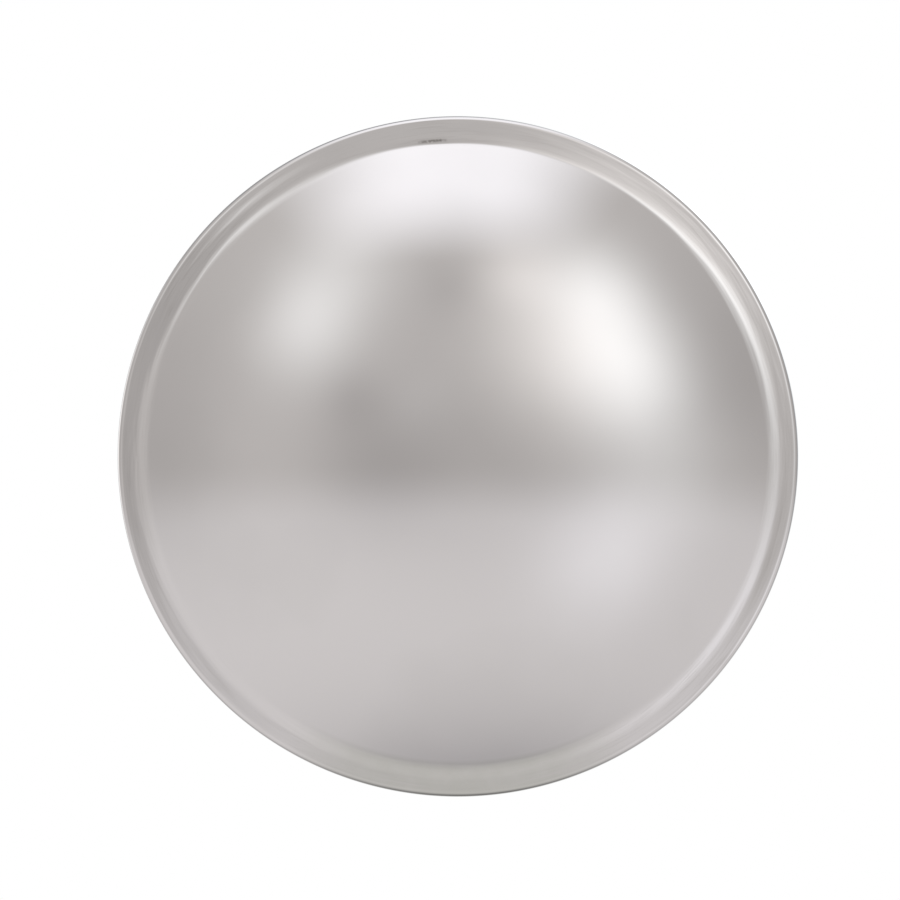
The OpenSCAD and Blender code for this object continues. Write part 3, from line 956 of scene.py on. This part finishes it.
def pivot(prefix, body, axis, centre, roll):
    """Bolt, two washers and lock nut of a joint. The bolt's head is at the axis's positive end."""
    along = Vector(axis)
    bolt_lo, bolt_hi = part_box(prefix + "_bolt")
    wash_lo, wash_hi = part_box(prefix + "_washers")
    nut_lo, nut_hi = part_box(prefix + "_nut")
    seat, end = wash_hi.dot(along), bolt_lo.dot(along)
    flat = centre - along * centre.dot(along)
    bolts, washers, nuts = Shape(), Shape(), Shape()
    bolt(bolts, M12, (seat - end) / MM, PIVOT_THREAD, aim(flat + along * seat, -along, roll))
    washer(washers, M12, aim(flat + along * seat, -along))
    washer(washers, M12, aim(flat + along * wash_lo.dot(along), along))
    nut(nuts, M12, aim(flat + along * nut_hi.dot(along), -along, roll + 0.4))
    metal_piece(bolts, prefix + "_pivot_bolt", body, prefix + "_bolt")
    metal_piece(washers, prefix + "_pivot_washers", body, prefix + "_washers")
    metal_piece(nuts, prefix + "_pivot_nut", body, prefix + "_nut", [NUT_RING])


# ---------------------------------------------------------------- swivel

def bushes(node, name, axis, centre):
    """Two flanged bushes, pressed into the ends of an eye."""
    lo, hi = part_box(node)
    along = Vector(axis)
    seat = (hi - lo).dot(along) / 2 - BUSH_FLANGE * MM
    corners = [
        (BUSH_BORE_R, -BUSH_SLEEVE), (BUSH_SLEEVE_R, -BUSH_SLEEVE), (BUSH_SLEEVE_R, 0.0),
        (BUSH_FLANGE_R, 0.0), (BUSH_FLANGE_R, BUSH_FLANGE), (BUSH_BORE_R, BUSH_FLANGE),
    ]
    section = rounded(corners + corners[:2], 0.4, 3)[1:-1]
    shape = Shape()
    for way in (-1, 1):
        shape.add(*lathe(section), aim(centre + along * way * seat, along * way))
    obj = shade(shape.make(name, [NYLON]))
    return finish_piece(obj, "swivel", "nylon", node)


def knuckle():
    """Casting: two crossed eyes and a neck that flow together, with machined bores."""
    voxel, grow, pitting = 0.0009, 0.00010, 0.00005
    gap = (PAN_AXIS - TILT_AXIS).length / MM
    eyes = [(PAN_AXIS, (0, 0, 1), PAN_EYE_H / 2), (TILT_AXIS, (1, 0, 0), TILT_EYE_W / 2)]
    parts = [cylinder(EYE_R, EYE_END - h, h - EYE_END, aim(at, axis)) for at, axis, h in eyes]
    parts.append(cylinder(NECK_R, NECK_END, gap - NECK_END, aim(PAN_AXIS, (0, -1, 0))))
    body = parts[0]
    body.name = "knuckle_casting"
    for part in parts[1:]:
        cut(body, part, "UNION")
    remesh = body.modifiers.new("voxels", "REMESH")
    remesh.mode, remesh.voxel_size = "VOXEL", voxel
    smooth = body.modifiers.new("flow", "SMOOTH")
    smooth.factor, smooth.iterations = 0.5, 14
    settle(body)
    # The smoothing draws the outline in a little, so it is grown back inside the CAD size
    grown = []
    for v, facing in zip(body.data.vertices, body.data.vertex_normals):
        out = grow + pitting * noise.noise(v.co * 260.0)
        grown.extend(v.co + facing.vector * out)
    body.data.vertices.foreach_set("co", grown)
    for material in (CASTING, MACHINED):
        body.data.materials.append(material)
    for centre, axis, half in eyes:
        bore = cylinder(EYE_BORE_R, -half - 3, half + 3, aim(centre, axis))
        for material in (CASTING, MACHINED):
            bore.data.materials.append(material)
        bore.data.polygons.foreach_set("material_index", [1] * len(bore.data.polygons))
        cut(body, bore)
    shade(body, math.radians(38))
    return finish_piece(body, "swivel", "galvanised_casting", "swivel_knuckle")


# ---------------------------------------------------------------- weld beads

def untwisted(ring, before):
    """The ring, begun at the point that lies nearest the start of the ring before it."""
    count = len(ring)

    def apart(start):
        return sum((Vector(before[k]) - Vector(ring[(k + start) % count])).length for k in (0, 3))

    best = min(range(count), key=apart)
    return ring[best:] + ring[:best]


def weld_bead(name, path, radius, body, seed):
    """A fillet weld round a closed path in metres, with its ripples, half sunk in what it joins."""
    dice = random.Random(seed)
    sides, step_length = 10, 0.0004
    steps = []
    for a, b in zip(path, path[1:] + path[:1]):
        count = max(1, int((b - a).length / step_length))
        steps += [a.lerp(b, i / count) for i in range(count)]
    wobble = [dice.uniform(0.9, 1.1) for _ in range(64)]
    travelled, rings = 0.0, []
    for i, p in enumerate(steps):
        before, after = steps[i - 1], steps[(i + 1) % len(steps)]
        ahead = (after - before).normalized()
        travelled += (p - before).length if i else 0.0
        side = ahead.orthogonal().normalized()
        other = ahead.cross(side)
        phase = travelled / BEAD_RIPPLE
        crest = 0.90 + 0.10 * abs(math.cos(math.pi * phase)) ** 0.5
        size = radius * crest * wobble[int(phase) % len(wobble)]
        turns = [2 * math.pi * k / sides for k in range(sides)]
        ring = [tuple(p + side * math.cos(t) * size + other * math.sin(t) * size) for t in turns]
        rings.append(untwisted(ring, rings[-1]) if rings else ring)
    rings.append(untwisted(rings[0], rings[-1]))
    obj = Shape().add(*skin(rings)).make(name, [PLATE_ZINC])
    bm = bmesh.new()
    bm.from_mesh(obj.data)
    bmesh.ops.remove_doubles(bm, verts=bm.verts, dist=1e-7)
    bm.to_mesh(obj.data)
    bm.free()
    shade(obj, math.radians(80))
    return finish_piece(obj, body, "galvanised_plate")


def square_loop(half, depth_at):
    """Points round the arm's rounded square in X and Z. depth_at gives Y from x."""
    points = []
    for quarter in range(4):
        centre_turn = math.pi / 2 * quarter + math.pi / 4
        cx = math.copysign(half - ARM_CORNER_R, math.cos(centre_turn))
        cz = math.copysign(half - ARM_CORNER_R, math.sin(centre_turn))
        points += arc((cx, cz), ARM_CORNER_R, math.pi / 2 * quarter, math.pi / 2 * (quarter + 1), 6)
    dense = []
    for a, b in zip(points, points[1:] + points[:1]):
        for i in range(6):
            x, z = a.lerp(b, i / 6)
            dense.append(Vector((x, depth_at(x), z)))
    return dense


def weld_beads():
    arm_lo, arm_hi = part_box("bracket_arm")
    half = (arm_hi.x - arm_lo.x) / 2
    saddle_r = -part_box("pole_saddle")[0].y
    at_saddle = square_loop(half, lambda x: -math.sqrt(saddle_r ** 2 - x * x))
    weld_bead("weld_saddle_arm", at_saddle, BEAD_R, "pole_mount", 1)
    weld_bead("weld_arm_clevis", square_loop(half, lambda x: arm_lo.y), BEAD_R, "pole_mount", 2)

    ears_lo, ears_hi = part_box("tilt_ears")
    gap = size_of("tilt_bushes").x / 2 + 0.0001
    for way, label in ((-1, "left"), (1, "right")):
        near_x, far_x = way * gap, way * ears_hi.x
        corners = [(near_x, ears_lo.z), (far_x, ears_lo.z), (far_x, ears_hi.z), (near_x, ears_hi.z)]
        path = [Vector((x, ears_lo.y, z)) for x, z in corners]
        weld_bead("weld_ear_" + label, path, BEAD_R * 0.9, "head", 3 + way)


# ---------------------------------------------------------------- build the object

mirror_face()
edge_seal()
back_pan()
plate("stiffener_plate", "stiffener", "head")
plate("head_plate", "bracket_plate", "head")
plate("tilt_ears", "bracket_ears", "head")
plate("pan_clevis", "clevis", "pole_mount")
plate("bracket_arm", "arm_tube", "pole_mount", width=0.0005)
plate("pole_saddle", "clamp_saddle", "pole_mount")
plate("clamp_strap", "clamp_band", "pole_mount")
rolls = random.Random(11)
head_fasteners(rolls)
clamp_fasteners(rolls)
pivot("pan", "pole_mount", (0, 0, 1), PAN_AXIS, 0.2)
pivot("tilt", "head", (1, 0, 0), TILT_AXIS, 0.5)
bushes("pan_bushes", "pan_bush_pair", (0, 0, 1), PAN_AXIS)
bushes("tilt_bushes", "tilt_bush_pair", (1, 0, 0), TILT_AXIS)
knuckle()
weld_beads()


# ---------------------------------------------------------------- studio

# Soft lamps that the dome mirrors: angle off the axis that points at the camera, angle round it
# from +X, spread, strength and colour. Negative ones are the dark things in front of the mirror.
WARM, COOL, BLUE = (1.0, 1.0, 0.98), (0.93, 1.0, 1.02), (0.95, 1.0, 1.08)
LAMPS = [
    (44, 27, 9.5, 0.60, COOL),
    (34, 46, 13, 0.57, WARM),
    (50, 50, 8, 0.47, COOL),
    (44, 72, 6, 0.23, WARM),
    (48, -2, 11, 0.19, COOL),
    (45, 139, 8, 0.35, COOL),
    (52, 122, 9, 0.24, COOL),
    (40, 326, 10.5, 0.26, BLUE),
    (93, 273, 20, -0.52, WARM),
    (28, 38, 25, -0.23, WARM),
    (19, 188, 11, -0.15, WARM),
    (79, 12, 20, -0.16, WARM),
    (78, 176, 18, -0.17, WARM),
    (6, 225, 9, -0.03, WARM),
    (60, 320, 14, -0.035, WARM),
    (15, 122, 6, 0.05, COOL),
    (27, 151, 5, -0.08, WARM),
    (38, 92, 5, -0.07, WARM),
    # Behind the mirror, where only its rolled edge shows them to the front
    (140, 44, 15, 2.2, COOL),
    (120, 175, 14, 1.2, WARM),
    (150, 300, 14, 0.5, COOL),
]
ROOM = (0.764, 0.76, 0.745)
FLOOR_GLOW = (0.92, 0.92, 0.92)
BACKGROUND = (0.44, 0.45, 0.46)
UNDER_GLOW = (0.66, 0.66, 0.66)
TOP_BOX = (0.727, 0.765, 0.826)


def studio():
    """The world: room, pale floor, light box overhead and lamps. The camera sees plain white."""
    world = bpy.data.worlds.new("studio")
    bpy.context.scene.world = world
    world.use_nodes = True
    world.node_tree.nodes.clear()
    g = Graph(world.node_tree)

    def ramp(value, low, high):
        return g.remap(value, low, high, smooth=True)

    direction = g.node("ShaderNodeTexCoord", {}, "Generated")
    x, y, z = (g.part(direction, axis) for axis in "XYZ")
    room = g.mix(ramp(z, -0.02, -0.26), ROOM, FLOOR_GLOW)
    behind = g.mix(ramp(z, 0.1, -0.5), BACKGROUND, UNDER_GLOW)
    light = g.mix(ramp(y, -0.10, 0.35), room, behind)

    above = g.math("MAXIMUM", z, 0.001)
    across = g.math("DIVIDE", x, above)
    ahead = g.math("DIVIDE", g.times(y, -1.0), above)
    box = g.times(ramp(across, 0.675, 0.13), ramp(across, -0.83, -0.10))
    for edge in (ramp(ahead, 1.05, 0.45), ramp(ahead, -0.6, -0.2), ramp(z, 0.0, 0.05)):
        box = g.times(box, edge)
    light = g.vector("ADD", light, g.scaled(TOP_BOX, box))
    for off, around, spread, strength, colour in LAMPS:
        off, around, spread = math.radians(off), math.radians(around), math.radians(spread)
        lamp = (math.sin(off) * math.cos(around), -math.cos(off), math.sin(off) * math.sin(around))
        facing = g.vector("DOT_PRODUCT", direction, lamp, output="Value")
        tight = 1 / spread ** 2
        lobe = g.math("EXPONENT", g.math("MULTIPLY_ADD", facing, tight, -tight))
        light = g.vector("ADD", light, g.scaled(tuple(strength * c for c in colour), lobe))

    glow = g.node("ShaderNodeBackground", {"Color": light})
    plain = g.node("ShaderNodeBackground", {"Color": (1.0, 1.0, 1.0), "Strength": 1.0})
    seen = g.node("ShaderNodeLightPath", {}, "Is Camera Ray")
    out = g.tree.nodes.new("ShaderNodeOutputWorld")
    g.feed(out.inputs["Surface"], g.node("ShaderNodeMixShader", {0: seen, 1: glow, 2: plain}))


def floor():
    """Pale floor far below the pole clamp, which fades into the white background."""
    height, segments = -1.25, 96
    rings = [circle(r, height, segments) for r in (0.0, 0.5, 1.0, 2.0, 4.0, 8.0, 30.0)]
    m = Nodes("floor").set(Roughness=0.9)
    m.colour(m.mix(m.noise(300.0, 3.0), (0.80, 0.80, 0.80), (0.84, 0.84, 0.84)))
    away = m.vector("LENGTH", m.stretched(1.0, 1.0, 0.0), output="Value")
    white = m.node("ShaderNodeEmission", {"Color": (1.0, 1.0, 1.0)})
    inputs = {0: m.remap(away, 1.5, 4.5, smooth=True), 1: m.shader.outputs["BSDF"], 2: white}
    m.feed(m.tree.nodes["Material Output"].inputs["Surface"], m.node("ShaderNodeMixShader", inputs))
    obj = Shape().add(*skin(rings)).make("studio_floor", [m.material])
    obj.visible_glossy = False


def camera():
    """Long lens, square-on to the mirror, which fills three quarters of the picture."""
    share, right, down = 0.7562, 0.0088, 0.0071
    lens, sensor = 180.0, 36.0
    width = 2 * MIRROR_R * MM / share
    rim_y = FACE_Y - on_rim(RIM_W, -HEM_R).y * MM
    data = bpy.data.cameras.new("camera")
    data.lens, data.sensor_width = lens, sensor
    obj = bpy.data.objects.new("camera", data)
    bpy.context.scene.collection.objects.link(obj)
    obj.location = (-right * width, rim_y - width * lens / sensor, down * width)
    obj.rotation_euler = (math.pi / 2, 0, 0)
    bpy.context.scene.camera = obj


studio()
floor()
camera()
bpy.context.scene.view_settings.view_transform = "Standard"
